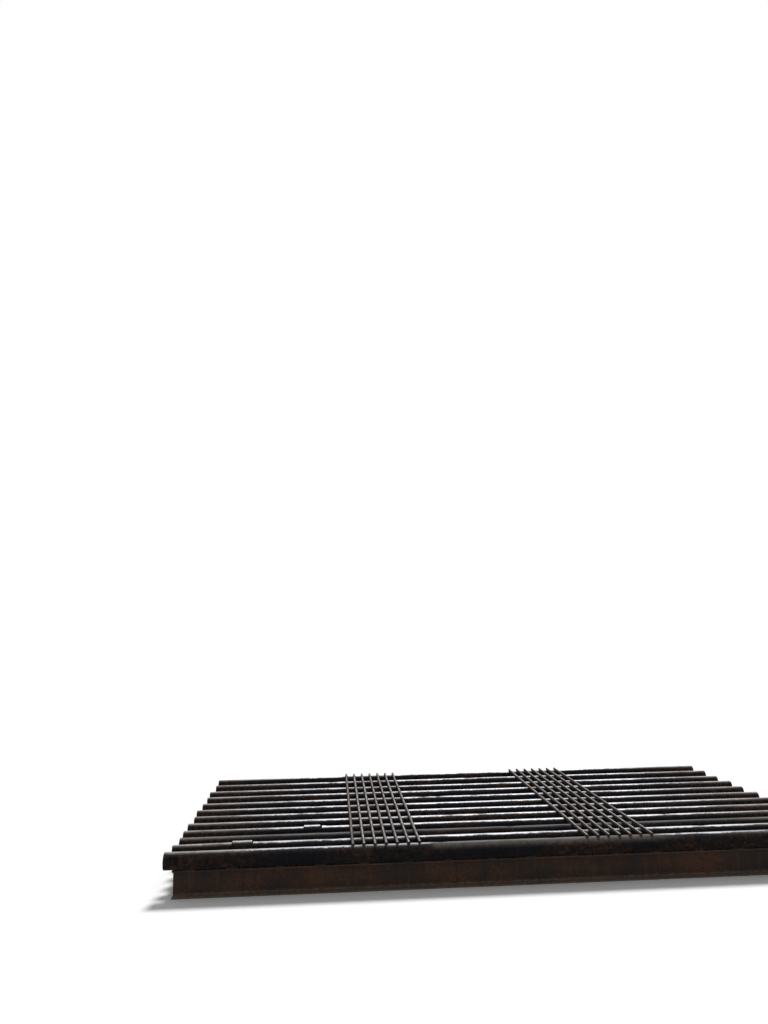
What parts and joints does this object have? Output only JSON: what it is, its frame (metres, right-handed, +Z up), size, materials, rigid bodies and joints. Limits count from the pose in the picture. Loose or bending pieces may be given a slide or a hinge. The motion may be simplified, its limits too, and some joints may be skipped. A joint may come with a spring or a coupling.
{
  "type": "cattle grid",
  "caption": "Cattle grid of round steel pipes laid across a road on welded beams, with two groups of round rods along the wheel tracks.",
  "frame": {"origin": "on the ground below the middle of the grid", "axes": "+X along the pipes to the right, +Y along the road away from the front pipe, +Z up"},
  "size_m": [4.775, 2.4377, 0.3101],
  "materials": {
    "front_pipe_steel": "rusty, worn pale along the top",
    "deck_pipe_steel": "weathered brown-grey, polished pale along the top",
    "coupling_steel": "weathered brown-grey, rough",
    "rod_steel": "polished by tyres on top, rusty below",
    "frame_steel": "rusty mill steel"
  },
  "bodies": {
    "root": {"front_pipe": "front_pipe_steel", "back_pipe": "deck_pipe_steel", "deck_pipe_2_left": "deck_pipe_steel", "deck_pipe_2_right": "deck_pipe_steel", "deck_pipe_2_coupling": "coupling_steel", "deck_pipe_4_left": "deck_pipe_steel", "deck_pipe_4_right": "deck_pipe_steel", "deck_pipe_4_coupling": "coupling_steel", "deck_pipe_3": "deck_pipe_steel", "deck_pipe_5": "deck_pipe_steel", "deck_pipe_6": "deck_pipe_steel", "deck_pipe_7": "deck_pipe_steel", "deck_pipe_8": "deck_pipe_steel", "deck_pipe_9": "deck_pipe_steel", "deck_pipe_10": "deck_pipe_steel", "deck_pipe_11": "deck_pipe_steel", "left_track_rod_1": "rod_steel", "left_track_rod_2": "rod_steel", "left_track_rod_3": "rod_steel", "left_track_rod_4": "rod_steel", "left_track_rod_5": "rod_steel", "left_track_rod_6": "rod_steel", "left_track_rod_7": "rod_steel", "right_track_rod_1": "rod_steel", "right_track_rod_2": "rod_steel", "right_track_rod_3": "rod_steel", "right_track_rod_4": "rod_steel", "right_track_rod_5": "rod_steel", "right_track_rod_6": "rod_steel", "right_track_rod_7": "rod_steel", "bearer_1": "frame_steel", "bearer_2": "frame_steel", "bearer_3": "frame_steel", "bearer_4": "frame_steel", "bearer_5": "frame_steel", "left_end_channel": "frame_steel", "right_end_channel": "frame_steel", "front_channel": "frame_steel", "back_channel": "frame_steel"}
  },
  "joints": []
}
